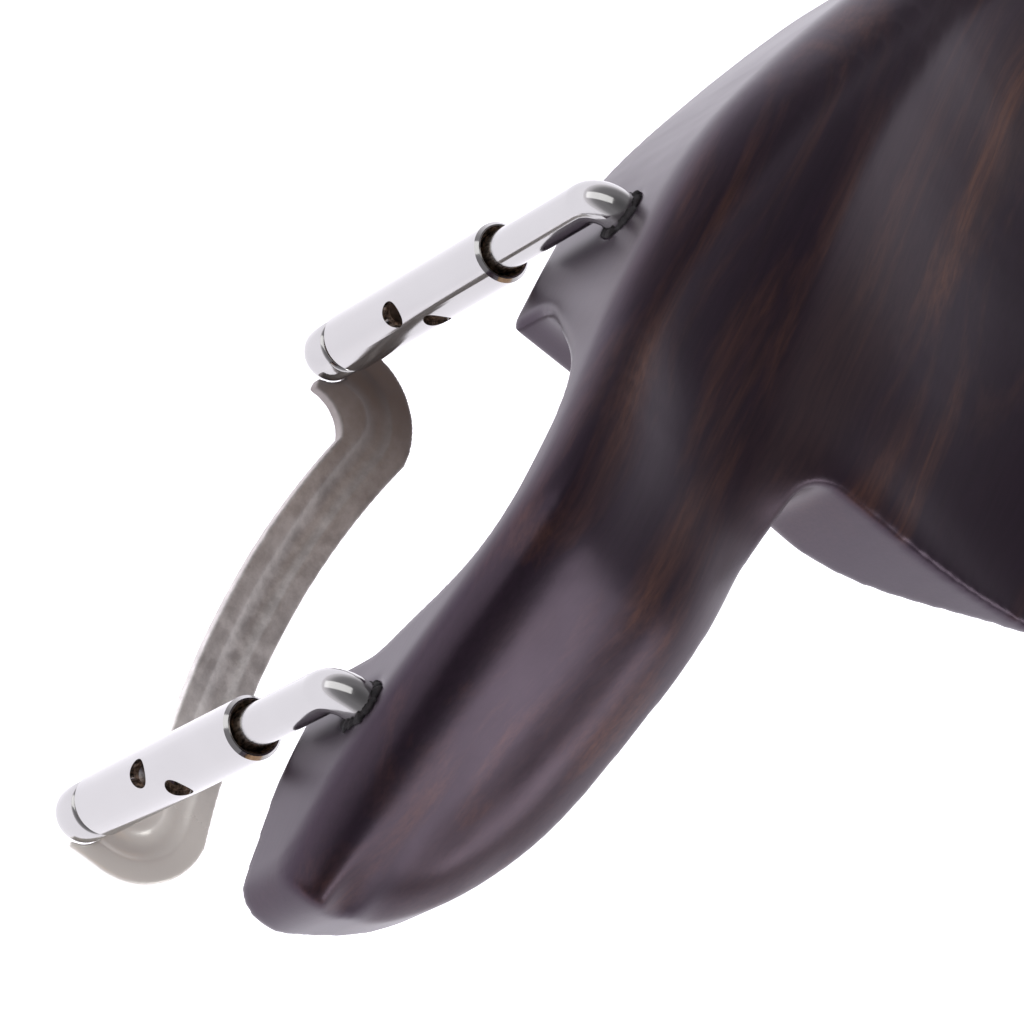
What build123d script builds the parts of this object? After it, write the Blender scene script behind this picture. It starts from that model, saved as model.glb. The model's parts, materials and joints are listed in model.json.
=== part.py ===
from build123d import *
from math import cos, pi, radians, sin, sqrt
import os

# Violin chin rest, centre-mounted (Guarneri pattern), millimetres.
# X runs along the line through the two clamp legs, +X toward the tip of the narrow arm.
# Y runs from the outer wall toward the scroll of the violin, with Y = 0 on the leg axes.
# Z is up; Z = 0 is the violin's top plate, where the cork pads rest.

# ---- clamp hardware ----
leg_x = 26.5                  # each leg's distance from the middle of the clamp
barrel_radius = 2.8
barrel_length = 26.0
barrel_top_z = -2.0
barrel_bottom_z = barrel_top_z - barrel_length
barrel_edge = 0.3             # chamfer on the outer rim of each barrel end
mouth_radius = 2.35           # countersunk mouth at each barrel end
mouth_depth = 0.7
rod_radius = 1.85
thread_clearance = 0.07       # radial, between each rod and the barrel bore
bore_radius = rod_radius + thread_clearance
rod_end_chamfer = 0.3
key_hole_radius = 1.25
key_hole_offset = 1.85        # each key hole's distance above or below the barrel's middle
key_hole_angle = 60.0         # angle between the two key holes
lower_hole_turn = {"arm": -50.0, "cup": -29.0}

hook_height = {"arm": 11.2, "cup": 13.1}   # height of each hook's end above Z = 0
hook_bend_radius = 2.2
hook_end_depth = 7.0          # how far a hook reaches into the plate
hook_hole_depth = 7.2         # depth of each hook's hole in the plate
cutter_start = 1.0            # each hole's cutter starts this far outside the wall
hook_foot_z = -11.6           # lower end of each hook, inside the barrel

post_top_z = -18.4
heel_radius = 2.6
heel_gap = 0.6                # daylight between barrel and heel
heel_top_z = barrel_bottom_z - heel_gap
heel_bottom_z = -33.0
heel_rounding = 1.9

strip_top_z = -31.5
strip_thickness = 1.3
strip_outer_x = 29.7          # outer side of each short end
strip_inner_x = 22.8          # inner side of each short end
strip_end_y = 0.3
strip_corner_y = 3.6          # the short ends run straight to here
groove_end_x = 26.3
groove_start_y = 2.0
groove_radius = 2.3           # radius of the pressed groove's round bottom
groove_depth = 0.45

# ---- plate ----
cork_thickness = 1.0
plate_bottom_z = cork_thickness
wall_y = 2.6                  # the flat outer wall that takes the hooks
foot_gap_left = -18.4         # the arch stands between these two X positions
foot_gap_right = 20.2
wall_rounding = 2.0           # radius between the outer wall and the bevel above it
rounding_full_x = -66.0       # the rounding runs at its full depth to here
rounding_end_x = -80.0        # and has died away here, at the cup's left end
steady_x = -78.5              # left of here the section points keep the same Y positions
blank_height = 30.0           # taller than any of the plate's upper surface
blank_floor = -10.0           # below the plate's underside
arch_side_height = 3.0        # the arch's sides stand upright this far above its feet
arch_front = (-2.0, 20.4)     # Y and rise of the arch at the outer wall
arch_back = (50.0, 8.5)       # Y and rise of the arch behind the plate


def legs():
    """Name and signed X of each clamp leg."""
    return (("arm", leg_x), ("cup", -leg_x))


def smooth(t):
    """Smooth step from 0 to 1."""
    t = min(1.0, max(0.0, t))
    return t * t * (3 - 2 * t)


def along(stations, x):
    """Smooth curve through (x, value) stations."""
    if x <= stations[0][0]:
        return stations[0][1]
    if x >= stations[-1][0]:
        return stations[-1][1]
    i = max(k for k, station in enumerate(stations[:-1]) if station[0] <= x)

    def slope(k):
        if k == 0 or k == len(stations) - 1:
            return 0.0
        before, after = stations[k - 1], stations[k + 1]
        return (after[1] - before[1]) / (after[0] - before[0])

    (x0, v0), (x1, v1) = stations[i], stations[i + 1]
    width = x1 - x0
    t = (x - x0) / width
    h00 = 2 * t**3 - 3 * t**2 + 1
    h10 = t**3 - 2 * t**2 + t
    h01 = 3 * t**2 - 2 * t**3
    h11 = t**3 - t**2
    return h00 * v0 + h10 * width * slope(i) + h01 * v1 + h11 * width * slope(i + 1)


# Crest: the raised ridge that follows the outer wall from the arm's tip round the cup.
crest_y = ((-86, 32), (-75, 24.5), (-62, 17.6), (-54, 14.5), (-42, 10.4), (-31, 7.7),
           (-22, 6.4), (-12, 5.8), (0, 5.4), (9, 5.4), (23.5, 5.8), (31, 6.2), (37.7, 6.8),
           (44, 7.4))
crest_z = ((-86, 19), (-75, 19.6), (-62, 21), (-54, 22.2), (-42, 23.6), (-31, 23.8),
           (-22, 23.2), (-14, 23.0), (-7, 24.0), (2, 25.4), (9, 25.0), (17, 21.8), (23.5, 18.6),
           (31, 15.2), (37.7, 12.2), (44, 9.4))
# Ridge: the near rim of the chin bowl, across a shallow valley from the crest.
ridge_y = ((-86, 34), (-75, 26.4), (-62, 19.8), (-54, 18.0), (-47, 16.9), (-40, 16.2),
           (-34, 16.2), (-29, 16.7), (-24.5, 17.5), (-20, 18.4), (-15, 19.4), (-11, 20.1),
           (-7, 20.6), (0, 20.0), (10, 18.4), (20, 16.6), (30, 13.6), (38, 10.4), (44, 9.6))
# Front: the arm's free edge; over the cup it only spaces the section points.
front_y = ((-86, 46), (-40, 32), (-22, 28.4), (-12, 25.6), (0, 24.8), (9, 24.3), (18, 23.6),
           (24, 22.8), (29, 21.2), (34, 18.6), (38.5, 14.8), (41.3, 10.8), (43, 8.6))
# Fall of the arm's upper surface from its crest to its free edge.
arm_drop = ((-12, 7.0), (0, 7.4), (15, 8.0), (31, 6.6), (43, 4.0))
# Outer wall, seen from above.
outer_y = ((-84, 34), (-78.5, 23.5), (-69.5, 16), (-59.6, 11.4), (-45.6, 6.4), (-35.4, 3.6),
           (-24, 2.6), (28, 2.6), (33.5, 3.0), (39, 3.8), (41.8, 4.6), (44, 5.6))

bevel_slope = 0.55            # fall from the crest to the outer wall
crest_rounding = 0.8
arm_fall_share = 0.46         # share of the arm's fall that lies behind its crest
arm_level = 0.66              # the arm levels out at this share of its width
cup_fall = 0.08               # fall of the cup's rim toward its front
valley_slope = 0.085          # depth of the valley before the cup's ridge, per mm of its width
cup_centre = (-55.0, 36.0)
cup_half = (42.0, 30.0)
cup_depth = 6.2
cup_near = 23.0               # the cup is deepest this far beyond its ridge
cup_edge = 0.85               # the cup fades out over this share of its half size
ridge_rounding = 1.2
corner_slope = 0.165          # fall of the cup's front right corner, per mm toward the front
corner_start = (-40.0, 32.0)
corner_end_y = 52.5           # level again beyond here
corner_reach = 23.0
corner_soft = 3.0
neck_start, neck_end = -1.0, -14.0   # the arm's section turns into the cup's between these X
under_centre = (-44.0, 34.0)
under_half = (46.0, 36.0)
under_low = 8.0               # underside at the middle of the cup
under_rise = 5.0
thin_corner = (-40.0, 34.0)   # the front right corner of the cup is thinned beyond here
thin_reach = (24.0, 18.0)
thin_rise = 4.2


def rounding_drop(inset):
    """Drop of the upper surface where it rounds over into the outer wall."""
    if inset >= wall_rounding:
        return 0.0
    if inset <= 0:
        return wall_rounding - 4 * inset
    return wall_rounding - sqrt(wall_rounding**2 - (wall_rounding - inset) ** 2)


def top_z(x, y):
    """Height of the plate's upper surface."""
    s = y - along(crest_y, x)
    ridge = max(1.5, along(ridge_y, x) - along(crest_y, x))
    if s < 0:
        arm = cup = -bevel_slope * (sqrt(s * s + crest_rounding**2) - crest_rounding)
    else:
        share = min(s / max(3.0, along(front_y, x) - along(crest_y, x)), 1.3)
        fall = arm_fall_share * smooth(share / arm_level)
        edge = (1 - arm_fall_share) * max(0.0, (share - 0.5) / 0.5) ** 2.4
        arm = -along(arm_drop, x) * (fall + edge)
        cup = -valley_slope * ridge * sin(pi * min(s / ridge, 1.0)) - cup_fall * s
    neck = smooth((x - neck_start) / (neck_end - neck_start))
    beyond = s - ridge
    past_ridge = (beyond + sqrt(beyond**2 + ridge_rounding**2)) / 2
    falling = 1 - (1 - min(past_ridge / cup_near, 1.0)) ** 2
    reach = sqrt(((x - cup_centre[0]) / cup_half[0]) ** 2
                 + (max(0.0, y - cup_centre[1]) / cup_half[1]) ** 2)
    bowl = cup_depth * falling * smooth((1 - reach) / cup_edge)
    forward = min(y, corner_end_y) - corner_start[1]
    corner = corner_slope * (forward + sqrt(forward**2 + corner_soft**2)) / 2
    corner *= smooth((x - corner_start[0]) / corner_reach)
    rounding = smooth((x - rounding_end_x) / (rounding_full_x - rounding_end_x))
    drop = rounding * rounding_drop(y - along(outer_y, x))
    return along(crest_z, x) + (1 - neck) * arm + neck * (cup - bowl - corner) - drop


def under_z(x, y):
    """Height of the cup's underside: a shallow bowl that rises toward the rim."""
    reach = sqrt(((x - under_centre[0]) / under_half[0]) ** 2
                 + ((y - under_centre[1]) / under_half[1]) ** 2)
    to_right = smooth((x - thin_corner[0]) / thin_reach[0])
    to_front = smooth((y - thin_corner[1]) / thin_reach[1])
    return under_low + under_rise * reach**3 + thin_rise * to_right * to_front


def volume_below(height, x_stations, y_stations):
    """Solid under a surface: smooth loft through upright sections.

    height(x, y) gives the surface and y_stations(x) the Y of each section's points."""
    with BuildPart() as below:
        for x in x_stations:
            ys = y_stations(x)
            points = [(y, height(x, y)) for y in ys]
            with BuildSketch(Plane(origin=(x, 0, 0), x_dir=(0, 1, 0), z_dir=(1, 0, 0))):
                with BuildLine():
                    Spline(*points)
                    Polyline(points[-1], (ys[-1], blank_floor), (ys[0], blank_floor), points[0])
                make_face()
        loft()
    return below.part


def top_stations(x):
    """Y of each section point on the upper surface, gathered at the wall, crest and ridge."""
    x = max(x, steady_x)
    wall = along(outer_y, x)
    crest = max(along(crest_y, x), wall + 2.6)
    ridge = max(along(ridge_y, x), crest + 4.5)
    front = max(along(front_y, x), ridge + 4.5)
    ys = [wall - 2.4, wall - 0.6, wall, wall + 0.3, wall + 0.8, wall + 1.5,
          crest - 0.5, crest + 0.4, crest + 1.6, (crest + ridge) / 2,
          ridge - 1.4, ridge - 0.4, ridge + 0.6, ridge + 1.8,
          front - 2.0, front - 0.8, front + 0.4, front + 2.0]
    count = 7
    start = front + 2.0
    return ys + [start + (66.5 - start) * (i + 1) / count for i in range(count)]


def under_stations(x):
    """Y of each section point on the cup's underside."""
    return [14.0 + 6.75 * i for i in range(9)]


def make_plan():
    """Closed outline of the plate seen from above."""
    with BuildLine() as plan:
        Line((28, wall_y), (-24, wall_y))
        Spline((-24, wall_y), (-35.4, 3.6), (-45.6, 6.4), (-59.6, 11.4), (-69.5, 16),
               (-78.5, 23.5), (-84, 34), (-84, 46), (-76, 57), (-62, 63.2), (-44, 65),
               (-28, 62.6), (-19.4, 56), (-16.2, 49), tangents=[(-1, 0), (0.3, -0.95)])
        ThreePointArc((-16.2, 49), (-13.75, 39), (-12.6, 28.6))
        ThreePointArc((-12.6, 28.6), (-11.4, 26.1), (-8.6, 25.1))
        Spline((-8.6, 25.1), (0, 24.8), (9, 24.3), (18, 23.6), (24, 22.8), (29, 21.2),
               (34, 18.6), (38.5, 14.8), (41.4, 10.8), (42.9, 6.9), (41.8, 4.6), (39.0, 3.8),
               (33.5, 3.0), (28, wall_y), tangents=[(1, 0), (-1, -0.02)])
    return plan


plan = make_plan()

with BuildPart() as arch_cutter:
    spring = plate_bottom_z + arch_side_height
    for y, rise in (arch_front, arch_back):
        with BuildSketch(Plane(origin=(0, y, 0), x_dir=(1, 0, 0), z_dir=(0, -1, 0))):
            with BuildLine():
                Spline((foot_gap_left, spring), (-14.6, spring + rise * 0.38),
                       (-7.0, spring + rise * 0.74), (4.5, spring + rise * 0.86),
                       (13.5, spring + rise * 0.72), (18.4, spring + rise * 0.36),
                       (foot_gap_right, spring), tangents=[(0, 1), (0, -1)])
                Polyline((foot_gap_right, spring), (foot_gap_right, blank_floor),
                         (foot_gap_left, blank_floor), (foot_gap_left, spring))
            make_face()
    loft(ruled=True)

# The cup is hollowed from below, behind the long curved foot under its outer wall.
plate_sections = [-86 + 5.24 * i for i in range(26)]
cup_sections = [-87 + 8 * i for i in range(11)]
below_top = volume_below(top_z, plate_sections, top_stations)
below_cup = volume_below(under_z, cup_sections, under_stations)

with BuildPart() as cup_relief:
    with BuildSketch(Plane.XY.offset(blank_floor)):
        with BuildLine():
            Line((-9, 15.5), (-22, 15.9))
            Spline((-22, 15.9), (-36, 18.2), (-50, 23.6), (-62, 28.6), (-69.5, 29.6),
                   (-75, 27), (-80, 20.5), (-84, 12), tangents=[(-1, 0.03), (-0.4, -1)])
            Polyline((-84, 12), (-88, 12), (-88, 67), (-9, 67), (-9, 15.5))
        make_face()
    extrude(amount=2 * blank_height)
    add(below_cup, mode=Mode.INTERSECT)

with BuildPart() as chin_plate:
    with BuildSketch(Plane.XY.offset(plate_bottom_z)):
        add(plan.line)
        make_face()
    extrude(amount=blank_height)
    add(below_top, mode=Mode.INTERSECT)
    add(arch_cutter.part, mode=Mode.SUBTRACT)
    add(cup_relief.part, mode=Mode.SUBTRACT)
    for leg, x in legs():
        with BuildSketch(Plane.XZ.offset(cutter_start - wall_y)):
            with Locations((x, hook_height[leg])):
                Circle(rod_radius)
        extrude(amount=-(cutter_start + hook_hole_depth), mode=Mode.SUBTRACT)
chin_plate.part.label = "chin_plate"

# Cork sheets under the two feet, drawn in from the plate's edges.
with BuildPart() as cork_pad_arm:
    with BuildSketch():
        with BuildLine():
            Line((22.1, 20.9), (22.1, 4.5))
            Line((22.1, 4.5), (28, 4.5))
            Spline((28, 4.5), (34, 4.9), (38.6, 5.7), (40.8, 7.3), (39.6, 10.2), (36.8, 13.8),
                   (32.6, 17.0), (28.2, 19.2), (22.1, 20.9), tangents=[(1, 0), (-1, 0.2)])
        make_face()
    extrude(amount=cork_thickness)
cork_pad_arm.part.label = "cork_pad_arm"

with BuildPart() as cork_pad_cup:
    with BuildSketch():
        with BuildLine():
            Line((-20.3, 14.0), (-20.3, 4.5))
            Line((-20.3, 4.5), (-24, 4.5))
            Spline((-24, 4.5), (-34.8, 5.5), (-45, 8.3), (-59, 13.3), (-68.5, 17.9), (-74.4, 22.2),
                   (-74.3, 24.6), (-70, 27.4), (-62.6, 26.7), (-50.6, 21.8), (-36.4, 16.4),
                   (-20.3, 14.0), tangents=[(-1, 0), (1, -0.1)])
        make_face()
    extrude(amount=cork_thickness)
cork_pad_cup.part.label = "cork_pad_cup"


def make_hook(name, x, height):
    """Upper clamp rod: straight up out of the barrel, then a tight bend into the plate."""
    tip_y = wall_y + hook_end_depth
    with BuildPart() as hook:
        with BuildLine() as path:
            inset = hook_bend_radius * (1 - cos(pi / 4))
            bend_start = (x, 0, height - hook_bend_radius)
            bend_end = (x, hook_bend_radius, height)
            Line((x, 0, hook_foot_z), bend_start)
            ThreePointArc(bend_start, (x, inset, height - inset), bend_end)
            Line(bend_end, (x, tip_y, height))
        with BuildSketch(Plane(origin=(x, 0, hook_foot_z))):
            Circle(rod_radius)
        sweep(path=path.line)
        chamfer(hook.edges().filter_by(GeomType.CIRCLE).sort_by(Axis.Z)[0], rod_end_chamfer)
    hook.part.label = name
    return hook.part


def make_barrel(name, x, lower_turn):
    """Turnbuckle barrel: a tube with countersunk mouths and two crossing key holes."""
    with BuildPart() as barrel:
        with BuildSketch(Plane(origin=(x, 0, 0), x_dir=(1, 0, 0), z_dir=(0, -1, 0))):
            with BuildLine():
                Polyline(
                    (bore_radius, barrel_bottom_z + mouth_depth),
                    (mouth_radius, barrel_bottom_z),
                    (barrel_radius - barrel_edge, barrel_bottom_z),
                    (barrel_radius, barrel_bottom_z + barrel_edge),
                    (barrel_radius, barrel_top_z - barrel_edge),
                    (barrel_radius - barrel_edge, barrel_top_z),
                    (mouth_radius, barrel_top_z),
                    (bore_radius, barrel_top_z - mouth_depth),
                    (bore_radius, barrel_bottom_z + mouth_depth),
                )
            make_face()
        revolve(axis=Axis((x, 0, 0), (0, 0, 1)))
        middle_z = (barrel_top_z + barrel_bottom_z) / 2
        for side, turn in ((-1, lower_turn), (1, lower_turn + key_hole_angle)):
            way = Vector(cos(radians(turn)), sin(radians(turn)), 0)
            centre = Vector(x, 0, middle_z + side * key_hole_offset)
            with BuildSketch(Plane(origin=centre, x_dir=(0, 0, 1), z_dir=way)):
                Circle(key_hole_radius)
            extrude(amount=2 * barrel_radius, both=True, mode=Mode.SUBTRACT)
    barrel.part.label = name
    return barrel.part


def make_post(name, x):
    """Lower clamp rod with the rounded heel that carries the bracket."""
    with BuildPart() as post:
        with BuildSketch(Plane.XY.offset(heel_bottom_z)):
            with Locations((x, 0)):
                Circle(heel_radius)
        extrude(amount=heel_top_z - heel_bottom_z)
        rims = post.edges().filter_by(GeomType.CIRCLE).sort_by(Axis.Z)
        fillet(rims[0], heel_rounding)
        chamfer(post.edges().filter_by(GeomType.CIRCLE).sort_by(Axis.Z)[-1], rod_end_chamfer)
        with BuildSketch(Plane.XY.offset(heel_top_z)):
            with Locations((x, 0)):
                Circle(rod_radius)
        extrude(amount=post_top_z - heel_top_z)
        chamfer(post.edges().filter_by(GeomType.CIRCLE).sort_by(Axis.Z)[-1], rod_end_chamfer)
    post.part.label = name
    return post.part


with BuildPart() as bracket_strip:
    with BuildSketch(Plane.XY.offset(strip_top_z - strip_thickness)):
        with BuildLine() as strip_plan:
            ThreePointArc((-22.0, 11.4), (0, 8.6), (22.0, 11.4))
            ThreePointArc((22.0, 11.4), (27.4, 9.2), (strip_outer_x, strip_corner_y))
            Line((strip_outer_x, strip_corner_y), (strip_outer_x, strip_end_y))
            Line((strip_outer_x, strip_end_y), (strip_inner_x, strip_end_y))
            ThreePointArc((strip_inner_x, strip_end_y), (22.2, 3.2), (20.3, 4.7))
            ThreePointArc((20.3, 4.7), (0, 2.4), (-20.3, 4.7))
            ThreePointArc((-20.3, 4.7), (-22.2, 3.2), (-strip_inner_x, strip_end_y))
            Line((-strip_inner_x, strip_end_y), (-strip_outer_x, strip_end_y))
            Line((-strip_outer_x, strip_end_y), (-strip_outer_x, strip_corner_y))
            ThreePointArc((-strip_outer_x, strip_corner_y), (-27.4, 9.2), (-22.0, 11.4))
        make_face()
    extrude(amount=strip_thickness)
    groove_z = strip_top_z - groove_depth + groove_radius
    groove_turn = (groove_end_x, strip_corner_y, groove_z)
    groove_turn_far = (-groove_end_x, strip_corner_y, groove_z)
    with BuildLine() as groove_path:
        Line((groove_end_x, groove_start_y, groove_z), groove_turn)
        ThreePointArc(groove_turn, (25.07, 6.57, groove_z), (21.23, 7.71, groove_z))
        ThreePointArc((21.23, 7.71, groove_z), (0, 5.5, groove_z), (-21.23, 7.71, groove_z))
        ThreePointArc((-21.23, 7.71, groove_z), (-25.07, 6.57, groove_z), groove_turn_far)
        Line(groove_turn_far, (-groove_end_x, groove_start_y, groove_z))
    groove_start = (groove_end_x, groove_start_y, groove_z)
    with BuildSketch(Plane(origin=groove_start, x_dir=(1, 0, 0), z_dir=(0, 1, 0))):
        Circle(groove_radius)
    sweep(path=groove_path.line, mode=Mode.SUBTRACT)
    # The ends are scooped to lie round the two heels.
    for leg, x in legs():
        with BuildSketch(Plane.XY.offset(strip_top_z)):
            with Locations((x, 0)):
                Circle(heel_radius)
        extrude(amount=-2 * strip_thickness, mode=Mode.SUBTRACT)
bracket_strip.part.label = "bracket_strip"

pieces = [chin_plate.part, bracket_strip.part, cork_pad_arm.part, cork_pad_cup.part]
for leg, x in legs():
    pieces.append(make_hook("hook_" + leg, x, hook_height[leg]))
    pieces.append(make_barrel("barrel_" + leg, x, lower_hole_turn[leg]))
    pieces.append(make_post("post_" + leg, x))

os.makedirs("parts", exist_ok=True)
for piece in pieces:
    export_step(piece, "parts/" + piece.label + ".step")
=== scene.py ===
import json
import random
from math import cos, pi, sin

import bmesh
import bpy
from mathutils import Matrix, Vector


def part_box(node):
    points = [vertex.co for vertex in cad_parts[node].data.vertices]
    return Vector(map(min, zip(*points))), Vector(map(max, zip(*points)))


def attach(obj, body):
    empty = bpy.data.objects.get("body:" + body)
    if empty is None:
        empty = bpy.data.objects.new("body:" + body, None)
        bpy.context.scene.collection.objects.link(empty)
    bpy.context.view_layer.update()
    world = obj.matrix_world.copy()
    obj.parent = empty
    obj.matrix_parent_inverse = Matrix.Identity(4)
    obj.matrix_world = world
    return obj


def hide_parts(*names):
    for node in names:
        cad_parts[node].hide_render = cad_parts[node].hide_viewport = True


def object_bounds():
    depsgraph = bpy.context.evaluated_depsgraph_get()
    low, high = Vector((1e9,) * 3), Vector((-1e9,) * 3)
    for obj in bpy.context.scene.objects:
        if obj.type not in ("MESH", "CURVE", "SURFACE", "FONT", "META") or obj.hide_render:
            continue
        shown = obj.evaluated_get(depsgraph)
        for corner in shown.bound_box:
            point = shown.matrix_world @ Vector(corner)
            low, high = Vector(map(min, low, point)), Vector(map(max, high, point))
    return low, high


# Violin chin rest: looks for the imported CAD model, in metres and in the CAD's own frame.
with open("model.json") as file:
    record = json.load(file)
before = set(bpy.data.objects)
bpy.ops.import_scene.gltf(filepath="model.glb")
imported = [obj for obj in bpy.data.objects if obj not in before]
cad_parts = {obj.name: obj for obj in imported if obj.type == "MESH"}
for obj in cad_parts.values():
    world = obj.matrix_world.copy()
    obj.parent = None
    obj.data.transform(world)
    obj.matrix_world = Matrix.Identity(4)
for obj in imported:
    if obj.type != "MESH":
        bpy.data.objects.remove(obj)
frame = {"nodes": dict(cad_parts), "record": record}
cad_box = [list(corner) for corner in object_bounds()]
nodes = frame["nodes"]
scene = bpy.context.scene


def middle(node):
    """Centre of a CAD node's box."""
    low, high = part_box(node)
    return (low + high) / 2


leg_x = middle("barrel_arm").x
barrel_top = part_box("barrel_arm")[1].z
barrel_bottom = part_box("barrel_arm")[0].z
hook_radius = (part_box("hook_arm")[1].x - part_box("hook_arm")[0].x) / 2
wall_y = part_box("chin_plate")[0].y          # the outer wall that the hooks enter
mouth_depth = 0.0007                        # countersink at each barrel's ends
mouth_radius = 0.00245                      # tarnish and painted shade reach out to here from the bore
tarnish_shade_edge = 0.00015                        # width of the soft edge of the tarnish and painted shade in the mouth
tarnish_shade_fade = 0.0006                         # and on the hook above the bore

heel_gap = 0.0006                           # daylight between barrel and heel
heel_rounding = 0.0019
heel_rim = (0.00035, 0.00008, 0.00022, 0.0004)   # two heights below the top, then two setbacks
thread_outer = 0.00183
thread_depth = 0.00024
thread_pitch = 0.0007
thread_flank = 0.42                         # half width of the groove, as a share of the pitch
thread_run_in = 0.0006                      # the groove fades in over this height
thread_run_out = 0.0003                     # and out over this one
thread_steps = 170
post_sides = 56

filler_tuck = 0.0001                        # the filler starts this far inside the rod's surface
filler_sink = 0.0005                        # and reaches this deep into the wall
filler_skin = 0.00004                       # its outer edge lies this far below the wall's surface
filler_sides, filler_across = 72, 10
filler_waves = (3, 5, 9, 14, 23)            # lumps round the smear
filler_reach = (0.00045, 0.00095, 0.00035)  # mean width, its unevenness, more on one side
filler_proud = (0.00024, 0.00030)           # mean height, its unevenness
filler_seeds = {"arm": 7, "cup": 19}

# ---------------------------------------------------------------- camera
camera_data = bpy.data.cameras.new("camera")
camera_data.lens = 221.48
camera_data.sensor_width = 36.0
camera_data.clip_start = 0.01
camera_data.clip_end = 20.0
camera = bpy.data.objects.new("camera", camera_data)
scene.collection.objects.link(camera)
camera_place = Vector((0.276795, -0.147871, 0.42702))
camera_right = Vector((-0.385103, 0.753003, 0.533556))
camera_up = Vector((-0.758793, -0.587427, 0.281359))
camera_ahead = Vector((-0.52529, 0.296506, -0.797593))
camera_axes = Matrix((camera_right, camera_up, -camera_ahead)).transposed()
camera.matrix_world = Matrix.Translation(camera_place) @ camera_axes.to_4x4()
scene.camera = camera
scene.view_settings.view_transform = "Standard"


# ---------------------------------------------------------------- node helpers
class Net:
    """A material's node tree, with short calls to add and join nodes."""

    def __init__(self, name):
        self.material = bpy.data.materials.new(name)
        self.material.use_nodes = True
        self.tree = self.material.node_tree
        self.tree.nodes.clear()
        self.out = self.tree.nodes.new("ShaderNodeOutputMaterial")
        self.shader = self.tree.nodes.new("ShaderNodeBsdfPrincipled")
        self.tree.links.new(self.shader.outputs[0], self.out.inputs[0])
        self.place = self.tree.nodes.new("ShaderNodeTexCoord").outputs["Object"]

    def node(self, kind, **values):
        """New node with the given settings."""
        n = self.tree.nodes.new(kind)
        for key, value in values.items():
            setattr(n, key, value)
        return n

    def join(self, source, target):
        """Link one socket to another."""
        self.tree.links.new(source, target)

    def stretched(self, scale, turn=(0, 0, 0)):
        """Object coordinates, turned and scaled."""
        m = self.node("ShaderNodeMapping")
        self.join(self.place, m.inputs["Vector"])
        m.inputs["Scale"].default_value = scale
        m.inputs["Rotation"].default_value = turn
        return m.outputs[0]

    def noise(self, scale, detail=6.0, rough=0.55, vector=None, distortion=0.0):
        """Noise from 0 to 1 over object coordinates, or over another vector."""
        n = self.node("ShaderNodeTexNoise")
        self.join(vector or self.place, n.inputs["Vector"])
        n.inputs["Scale"].default_value = scale
        n.inputs["Detail"].default_value = detail
        n.inputs["Roughness"].default_value = rough
        n.inputs["Distortion"].default_value = distortion
        return n.outputs["Fac"]

    def ramp(self, value, *stops):
        """Colour ramp through (position, colour) stops."""
        r = self.node("ShaderNodeValToRGB")
        self.join(value, r.inputs[0])
        band = r.color_ramp
        while len(band.elements) < len(stops):
            band.elements.new(0.5)
        for element, (position, colour) in zip(band.elements, stops):
            element.position = position
            element.color = (*colour, 1.0)
        return r.outputs["Color"]

    def spread(self, value, low, high, to_low, to_high):
        """Map low..high to to_low..to_high, clamped."""
        m = self.node("ShaderNodeMapRange")
        self.join(value, m.inputs["Value"])
        m.inputs["From Min"].default_value = low
        m.inputs["From Max"].default_value = high
        m.inputs["To Min"].default_value = to_low
        m.inputs["To Max"].default_value = to_high
        return m.outputs["Result"]

    def mix(self, share, a, b):
        """Blend of two colours, each a socket or a tuple."""
        m = self.node("ShaderNodeMix", data_type="RGBA")
        self.join(share, m.inputs["Factor"])
        for source, socket in ((a, m.inputs["A"]), (b, m.inputs["B"])):
            if isinstance(source, tuple):
                socket.default_value = (*source, 1.0)
            else:
                self.join(source, socket)
        return m.outputs["Result"]

    def times(self, a, b):
        """Product of two sockets."""
        m = self.node("ShaderNodeMath", operation="MULTIPLY")
        self.join(a, m.inputs[0])
        self.join(b, m.inputs[1])
        return m.outputs[0]

    def bump(self, height, strength, distance, below=None):
        """Normal from a height, on top of another bump if one is given."""
        b = self.node("ShaderNodeBump")
        self.join(height, b.inputs["Height"])
        b.inputs["Strength"].default_value = strength
        b.inputs["Distance"].default_value = distance
        if below is not None:
            self.join(below, b.inputs["Normal"])
        return b.outputs["Normal"]

    def set(self, **sockets):
        """Fill the shader's sockets and return the finished material."""
        names = {"base": "Base Color", "rough": "Roughness", "metal": "Metallic",
                 "normal": "Normal", "specular": "Specular IOR Level", "tint": "Specular Tint"}
        for key, value in sockets.items():
            socket = self.shader.inputs[names[key]]
            if isinstance(value, (int, float)):
                socket.default_value = value
            elif isinstance(value, tuple):
                socket.default_value = (*value, 1.0)
            else:
                self.join(value, socket)
        return self.material


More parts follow.
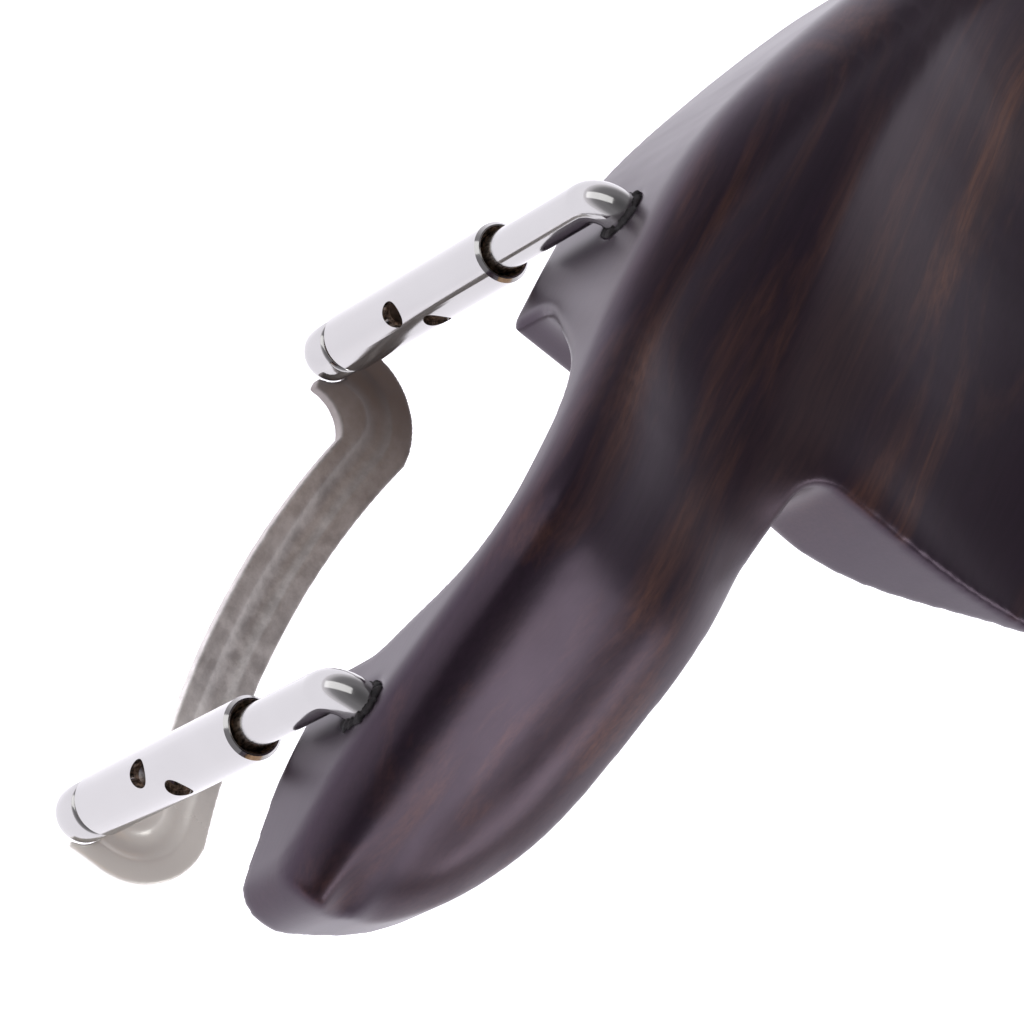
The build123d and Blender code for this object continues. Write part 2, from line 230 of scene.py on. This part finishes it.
def ebony():
    """Near black wood with brown streaks along the grain, fine pores and a satin finish."""
    net = Net("ebony")
    grain_turn = (0.05, 0.20, -0.10)
    along = net.stretched((14, 150, 130), turn=grain_turn)
    streak = net.noise(1.0, 8, 0.60, along, 0.7)
    broad = net.noise(1.0, 3, 0.5, net.stretched((8, 60, 45), turn=grain_turn), 0.8)
    body = net.ramp(broad, (0.32, (0.0090, 0.0045, 0.0095)), (0.52, (0.0130, 0.0070, 0.0120)),
                    (0.68, (0.0280, 0.0140, 0.0110)))
    vein = net.ramp(streak, (0.50, (0.0, 0.0, 0.0)), (0.58, (0.4, 0.4, 0.4)), (0.67, (1, 1, 1)))
    # Painted light: the brown figure is made strong on the upper surface and faint on the upright
    # sides. It stands in for the sheen where the tops catch the light.
    normal_for_painted_top_light = net.node("ShaderNodeSeparateXYZ")
    net.join(net.node("ShaderNodeNewGeometry").outputs["Normal"], normal_for_painted_top_light.inputs[0])
    vein = net.times(vein, net.spread(normal_for_painted_top_light.outputs[2], 0.15, 0.65, 0.12, 1.0))
    where = net.spread(broad, 0.40, 0.58, 0.25, 1.0)
    brown = net.mix(net.times(vein, where), body, (0.110, 0.046, 0.022))
    pores = net.noise(1.0, 4, 0.6, net.stretched((160, 2600, 2600), turn=grain_turn))
    colour = net.mix(net.spread(pores, 0.35, 0.60, 0.5, 0.0), brown, (0.004, 0.003, 0.004))
    rough = net.spread(net.noise(60, 4), 0.3, 0.7, 0.29, 0.37)
    normal = net.bump(pores, 0.12, 0.00004)
    normal = net.bump(net.noise(900, 3), 0.05, 0.00004, normal)
    return net.set(base=colour, rough=rough, normal=normal, specular=0.5, tint=(1.0, 0.76, 1.0))


def nickel(name, dark_below=None, dark_inside=None):
    """Polished nickel plate, with tarnish and painted shade below a height or inside a radius
    about the leg's axis.
    """
    net = Net(name)
    cloud = net.noise(160, 5)
    scuff = net.noise(1.0, 4, 0.6, net.stretched((1200, 1200, 160)))
    haze = net.spread(cloud, 0.35, 0.7, 0.0, 0.25)
    colour = net.mix(haze, (0.45, 0.445, 0.44), (0.40, 0.395, 0.39))
    rough = net.spread(scuff, 0.3, 0.7, 0.09, 0.17)
    axes = net.node("ShaderNodeSeparateXYZ")
    net.join(net.place, axes.inputs[0])
    tarnish_and_shade_masks = []
    if dark_below is not None:
        tarnish_and_shade_masks.append(net.spread(axes.outputs[2], dark_below, dark_below + tarnish_shade_fade, 1.0, 0.0))
    if dark_inside is not None:
        out = net.node("ShaderNodeMath", operation="ABSOLUTE")
        net.join(axes.outputs[0], out.inputs[0])
        off = net.node("ShaderNodeMath", operation="SUBTRACT")
        net.join(out.outputs[0], off.inputs[0])
        off.inputs[1].default_value = leg_x
        flat = net.node("ShaderNodeCombineXYZ")
        net.join(off.outputs[0], flat.inputs[0])
        net.join(axes.outputs[1], flat.inputs[1])
        size = net.node("ShaderNodeVectorMath", operation="LENGTH")
        net.join(flat.outputs[0], size.inputs[0])
        edge = dark_inside - tarnish_shade_edge
        tarnish_and_shade_masks.append(net.spread(size.outputs["Value"], edge, dark_inside, 1.0, 0.0))
    # Real bronze tarnish, speckled and darkened to paint the shade in the barrel's mouth and on
    # the hook inside it.
    for share in tarnish_and_shade_masks:
        speckle = net.spread(net.noise(2500, 3), 0.4, 0.6, 0.0, 1.0)
        tarnish_and_shade_colour = net.mix(speckle, (0.20, 0.160, 0.135), (0.72, 0.60, 0.50))
        colour = net.mix(share, colour, tarnish_and_shade_colour)
        rough = net.mix(share, rough, (0.36, 0.36, 0.36))
    return net.set(base=colour, rough=rough, metal=1.0, normal=net.bump(scuff, 0.05, 0.00002))


def strip_metal():
    """Dull pressed strip, mottled grey brown, with painted shade darkening the cup's end and
    painted light paling the arm's end.
    """
    net = Net("pressed_strip")
    mottle = net.noise(520, 7, 0.7)
    patch = net.noise(240, 5, 0.65)
    axes = net.node("ShaderNodeSeparateXYZ")
    net.join(net.place, axes.inputs[0])
    end_to_end = net.spread(axes.outputs[0], -0.030, 0.030, 0.0, 1.0)
    # Painted shade and light along the strip: dark towards the cup's end, pale towards the arm's.
    painted_shade_to_light = net.ramp(end_to_end, (0.05, (0.17, 0.145, 0.14)), (0.30, (0.62, 0.58, 0.56)),
                      (0.75, (0.90, 0.87, 0.85)), (0.97, (0.97, 0.94, 0.90)))
    colour = net.mix(net.spread(patch, 0.35, 0.65, 0.22, 0.0), painted_shade_to_light, (0.20, 0.18, 0.17))
    colour = net.mix(net.spread(mottle, 0.38, 0.62, 0.40, 0.0), colour, (0.15, 0.13, 0.12))
    # Painted light at the arm's end: nearly white colour, on smoother and less metallic metal.
    smooth_painted_light_end = net.spread(axes.outputs[0], 0.008, 0.022, 0.0, 1.0)
    colour = net.mix(smooth_painted_light_end, colour, (0.97, 0.94, 0.88))
    rough = net.spread(mottle, 0.3, 0.7, 0.42, 0.60)
    rough = net.mix(smooth_painted_light_end, rough, (0.24, 0.24, 0.24))
    metal = net.mix(smooth_painted_light_end, (0.5, 0.5, 0.5), (0.12, 0.12, 0.12))
    return net.set(base=colour, rough=rough, metal=metal, normal=net.bump(mottle, 0.35, 0.00008))


def cork():
    """Pressed cork: pale cells with dark flecks."""
    net = Net("cork")
    grain = net.node("ShaderNodeTexVoronoi")
    net.join(net.place, grain.inputs["Vector"])
    grain.inputs["Scale"].default_value = 900
    speck = net.noise(700, 5, 0.6)
    colour = net.ramp(grain.outputs["Distance"], (0.1, (0.30, 0.17, 0.08)),
                      (0.8, (0.50, 0.32, 0.17)))
    colour = net.mix(net.spread(speck, 0.3, 0.45, 0.8, 0.0), colour, (0.09, 0.045, 0.02))
    return net.set(base=colour, rough=0.9, normal=net.bump(speck, 0.6, 0.0002))


def filler_and_painted_shade():
    """Dried filler, matt and rough, made near black to paint the shade where each hook meets the
    wall.
    """
    net = Net("filler")
    lumps = net.noise(1500, 4, 0.7)
    high = net.spread(lumps, 0.4, 0.7, 0.0, 1.0)
    colour = net.mix(high, (0.004, 0.003, 0.004), (0.014, 0.010, 0.011))
    return net.set(base=colour, rough=0.9, normal=net.bump(lumps, 0.7, 0.0002))


materials = {
    "ebony": ebony(),
    # Hooks: tarnish and painted shade where they sink into the barrels' countersinks.
    "polished_nickel": nickel("hook_nickel", dark_below=barrel_top - mouth_depth),
    "pressed_strip": strip_metal(),
    "cork": cork(),
}
# Barrels: tarnish and painted shade round the mouth of the bore.
barrel_nickel = nickel("barrel_nickel", dark_inside=mouth_radius)
for name, node in nodes.items():
    slot_name = next(part["material_slot"] for part in frame["record"]["subparts"]
                     if part["node"] == name)
    node.data.materials.clear()
    chosen = barrel_nickel if name.startswith("barrel") else materials[slot_name]
    node.data.materials.append(chosen)
post_nickel = nickel("post_nickel")
filler_and_shade_black = filler_and_painted_shade()


def refine(name, node, voxel, passes, factor, body, slot_name):
    """Copy of a CAD solid with its edges eased: an even mesh laid on the solid, then relaxed."""
    solid = bpy.data.objects.new(name + "_solid", nodes[node].data.copy())
    piece = bpy.data.objects.new(name, nodes[node].data.copy())
    for thing in (solid, piece):
        scene.collection.objects.link(thing)
    remesh = piece.modifiers.new("even", "REMESH")
    remesh.mode = "VOXEL"
    remesh.voxel_size = voxel
    settle = piece.modifiers.new("settle", "SMOOTH")
    settle.factor = factor
    settle.iterations = passes
    cling = piece.modifiers.new("cling", "SHRINKWRAP")
    cling.target = solid
    relax = piece.modifiers.new("relax", "SMOOTH")
    relax.factor = factor
    relax.iterations = passes
    depsgraph = bpy.context.evaluated_depsgraph_get()
    done = bpy.data.meshes.new_from_object(piece.evaluated_get(depsgraph))
    piece.modifiers.clear()
    piece.data = done
    bpy.data.objects.remove(solid)
    done.materials.clear()
    done.materials.append(materials[slot_name])
    for face in done.polygons:
        face.use_smooth = True
    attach(piece, body)
    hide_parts(node)


def lathe(name, rings, sides, radius, material):
    """Closed round piece about the Z axis.

    rings holds (z, nominal radius), and radius(z, nominal, turn) gives the real one."""
    bm = bmesh.new()
    loops = []
    for z, nominal in rings:
        loop = []
        for k in range(sides):
            turn = 2 * pi * k / sides
            r = radius(z, nominal, turn)
            loop.append(bm.verts.new((r * cos(turn), r * sin(turn), z)))
        loops.append(loop)
    for low, high in zip(loops, loops[1:]):
        for k in range(sides):
            after = (k + 1) % sides
            bm.faces.new((low[k], low[after], high[after], high[k]))
    bm.faces.new(list(reversed(loops[0])))
    bm.faces.new(loops[-1])
    for face in bm.faces:
        face.smooth = len(face.verts) == 4
    mesh = bpy.data.meshes.new(name)
    bm.to_mesh(mesh)
    bm.free()
    mesh.materials.append(material)
    piece = bpy.data.objects.new(name, mesh)
    scene.collection.objects.link(piece)
    return piece


def post(name, node, x):
    """Lower clamp rod: a rounded heel and a left-hand thread above it."""
    low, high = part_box(node)
    heel_radius = (high.x - low.x) / 2
    heel_top = barrel_bottom - heel_gap
    arc_steps = 8
    rings = []
    for k in range(arc_steps + 1):
        a = pi / 2 * k / arc_steps
        side = heel_radius - heel_rounding + heel_rounding * sin(a)
        rings.append((low.z + heel_rounding * (1 - cos(a)), side))
    rim_low, rim_high, set_in, set_in_top = heel_rim
    rings += [(heel_top - rim_low, heel_radius), (heel_top - rim_high, heel_radius - set_in),
              (heel_top, heel_radius - set_in_top), (heel_top, thread_outer)]
    for k in range(1, thread_steps + 1):
        z = heel_top + (high.z - heel_top) * k / thread_steps
        rings.append((z, thread_outer))

    def radius(z, nominal, turn):
        if nominal != thread_outer or z <= heel_top:
            return nominal
        phase = (z / thread_pitch + turn / (2 * pi)) % 1.0
        groove = max(0.0, 1 - abs(phase - 0.5) / thread_flank)
        fade = min(1.0, (z - heel_top) / thread_run_in, (high.z - z) / thread_run_out)
        return nominal - thread_depth * groove * max(0.0, fade)

    piece = lathe(name, rings, post_sides, radius, post_nickel)
    piece.location = (x, 0, 0)
    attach(piece, "bracket")
    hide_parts(node)


def filler(name, x, z, seed):
    """Dried filler squeezed out round a hook where it enters the plate, near black to paint the
    shade at that joint as well.
    """
    bm = bmesh.new()
    wobble = random.Random(seed)
    waves = [(wobble.uniform(0, 2 * pi), wobble.uniform(0.4, 1.0), n) for n in filler_waves]
    mean_reach, uneven_reach, one_sided = filler_reach
    mean_proud, uneven_proud = filler_proud
    least_reach, least_proud = 0.00015, 0.00008
    inner = hook_radius - filler_tuck
    loops = []
    for k in range(filler_sides):
        turn = 2 * pi * k / filler_sides
        rough = sum(size * sin(n * turn + start) for start, size, n in waves) / len(waves)
        reach = mean_reach + uneven_reach * rough + one_sided * max(0.0, cos(turn - 0.5))
        width = max(least_reach, reach) + filler_tuck
        proud = max(least_proud, mean_proud + uneven_proud * rough)
        loop = []
        for i in range(filler_across + 1):
            share = i / filler_across
            r = inner + width * share
            out = proud * (1 - share**2) ** 0.5 - filler_skin
            loop.append(bm.verts.new((x + r * cos(turn), wall_y - out, z + r * sin(turn))))
        for r in (inner + width, inner):
            back = wall_y + filler_sink
            loop.append(bm.verts.new((x + r * cos(turn), back, z + r * sin(turn))))
        loops.append(loop)
    for k in range(filler_sides):
        one, two = loops[k], loops[(k + 1) % filler_sides]
        for i in range(len(one)):
            after = (i + 1) % len(one)
            bm.faces.new((one[i], one[after], two[after], two[i]))
    bmesh.ops.recalc_face_normals(bm, faces=bm.faces)
    for face in bm.faces:
        face.smooth = True
    mesh = bpy.data.meshes.new(name)
    bm.to_mesh(mesh)
    bm.free()
    mesh.materials.append(filler_and_shade_black)
    piece = bpy.data.objects.new(name, mesh)
    scene.collection.objects.link(piece)
    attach(piece, "plate")


for leg, x in (("arm", leg_x), ("cup", -leg_x)):
    post("post_" + leg + "_threaded", "post_" + leg, x)
    hook_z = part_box("hook_" + leg)[1].z - hook_radius
    filler("filler_" + leg, x, hook_z, filler_seeds[leg])

refine("chin_plate_wood", "chin_plate", 0.00043, 10, 0.5, "plate", "ebony")
refine("bracket_strip_metal", "bracket_strip", 0.0002, 4, 0.5, "bracket", "pressed_strip")

# ---------------------------------------------------------------- floor and light
# The floor lies just below the bracket's lowest place.
floor_clearance = 0.0002
floor_reach = 3.0
lift = next(j for j in frame["record"]["behaviour"]["joints"] if j["name"] == "bracket_lift")
floor_z = cad_box[0][2] + lift["range_m"][0] - floor_clearance
bm = bmesh.new()
bmesh.ops.create_grid(bm, x_segments=8, y_segments=8, size=floor_reach)
floor_mesh = bpy.data.meshes.new("floor")
bm.to_mesh(floor_mesh)
bm.free()
floor = bpy.data.objects.new("floor", floor_mesh)
floor.location = (0, 0, floor_z)
scene.collection.objects.link(floor)
floor_net = Net("floor_paper")
floor_net.set(base=(0.5, 0.5, 0.5), rough=0.9, specular=0.0)
floor_net.shader.inputs["Emission Color"].default_value = (0.94, 0.92, 1.0, 1.0)
floor_net.shader.inputs["Emission Strength"].default_value = 1.4
floor_mesh.materials.append(floor_net.material)

# The studio: a bright horizon that fades to a dark ceiling. Each stop is height and brightness.
sky_strength = 1.3
sky_tint = (0.97, 0.94, 1.0)
sky_levels = ((0.0, 1.0), (0.15, 0.72), (0.32, 0.36), (0.50, 0.26), (0.72, 0.24), (1.0, 0.12))
world = bpy.data.worlds.new("studio")
world.use_nodes = True
sky = world.node_tree
direction = sky.nodes.new("ShaderNodeTexCoord")
split = sky.nodes.new("ShaderNodeSeparateXYZ")
band = sky.nodes.new("ShaderNodeValToRGB")
sky.links.new(direction.outputs["Generated"], split.inputs[0])
sky.links.new(split.outputs[2], band.inputs[0])
sky.links.new(band.outputs[0], sky.nodes["Background"].inputs[0])
for height, level in sky_levels[1:-1]:
    band.color_ramp.elements.new(height)
for stop, (height, level) in zip(band.color_ramp.elements, sky_levels):
    stop.position = height
    stop.color = (*(level * tint for tint in sky_tint), 1.0)
sky.nodes["Background"].inputs[1].default_value = sky_strength
scene.world = world


def softbox(name, at, toward, width, height, watts):
    """Rectangular area light that faces a point."""
    data = bpy.data.lights.new(name, "AREA")
    data.shape = "RECTANGLE"
    data.size, data.size_y = width, height
    data.energy = watts
    lamp = bpy.data.objects.new(name, data)
    lamp.location = at
    lamp.rotation_mode = "QUATERNION"
    lamp.rotation_quaternion = (Vector(toward) - Vector(at)).to_track_quat("-Z", "Y")
    scene.collection.objects.link(lamp)


softbox("back", (0.20, 1.10, 0.63), (0.015, 0.01, 0.01), 0.55, 0.36, 3.0)
softbox("front", (0.10, -1.00, 0.80), (0.0, 0.0, 0.0), 0.8, 1.6, 4.8)
